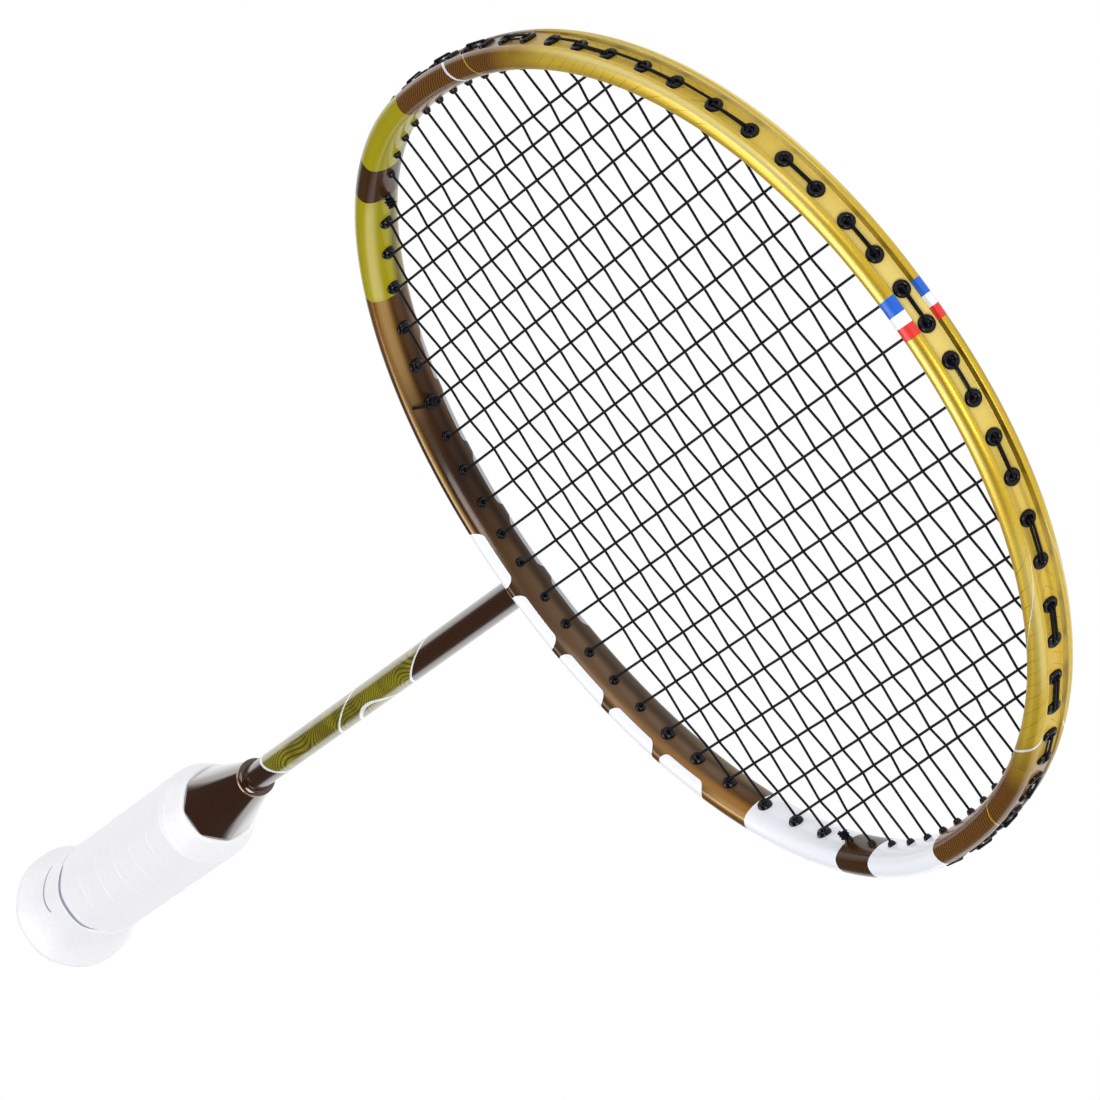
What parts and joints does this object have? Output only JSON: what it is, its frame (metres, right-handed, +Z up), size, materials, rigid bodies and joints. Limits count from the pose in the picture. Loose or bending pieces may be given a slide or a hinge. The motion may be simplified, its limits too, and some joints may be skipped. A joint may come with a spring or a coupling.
{
  "type": "badminton racket",
  "caption": "Badminton racket with an oval grooved head, woven string bed held in grommets, slim shaft, cone and tape-wound handle with a flared butt.",
  "frame": {"origin": "middle of the bounding box", "axes": "+X across the head, +Y along the shaft from the butt to the tip of the head, +Z up out of the string face"},
  "size_m": [0.2009, 0.675, 0.032],
  "materials": {
    "frame": "metallic gold lacquer fading to brown at the throat, over carbon composite",
    "shaft": "glossy dark brown lacquer over a carbon composite tube",
    "cone": "glossy dark brown",
    "ring": "copper-coloured trim",
    "core": "plain",
    "butt": "white",
    "grip": "white synthetic tape",
    "grommet": "black",
    "string": "black nylon"
  },
  "bodies": {
    "root": {"head_frame": "frame", "shaft": "shaft", "cone_cap": "cone", "cone_ring": "ring", "handle_core": "core", "butt_cap": "butt", "grip_tape": "grip", "main_string": "string", "cross_string": "string", "main_knot_left": "string", "main_knot_right": "string", "cross_knot_tip": "string", "cross_knot_throat": "string", "grommets_tip_centre": "grommet", "grommets_tip_right_2_3": "grommet", "grommets_tip_right_4_5": "grommet", "grommets_tip_right_6_7": "grommet", "grommets_tip_right_8_9": "grommet", "grommets_tip_right_10_11": "grommet", "grommets_tip_left_2_3": "grommet", "grommets_tip_left_4_5": "grommet", "grommets_tip_left_6_7": "grommet", "grommets_tip_left_8_9": "grommet", "grommets_tip_left_10_11": "grommet", "grommets_side_right_6_7": "grommet", "grommets_side_right_8_9": "grommet", "grommets_side_right_10_11": "grommet", "grommets_side_right_12_13": "grommet", "grommets_side_right_14_15": "grommet", "grommets_side_right_16_17": "grommet", "grommets_side_right_18_19": "grommet", "grommet_side_left_6": "grommet", "grommets_side_left_7_8": "grommet", "grommets_side_left_9_10": "grommet", "grommets_side_left_11_12": "grommet", "grommets_side_left_13_14": "grommet", "grommets_side_left_15_16": "grommet", "grommets_side_left_17_18": "grommet", "grommets_side_left_19_corner": "grommet", "grommet_throat_right_11": "grommet", "grommets_throat_right_1_2": "grommet", "grommets_throat_right_3_4": "grommet", "grommets_throat_right_5_6": "grommet", "grommets_throat_right_7_8": "grommet", "grommets_throat_right_9_10": "grommet", "grommets_throat_left_1_2": "grommet", "grommets_throat_left_3_4": "grommet", "grommets_throat_left_5_6": "grommet", "grommets_throat_left_7_8": "grommet", "grommets_throat_left_9_10": "grommet"}
  },
  "joints": []
}
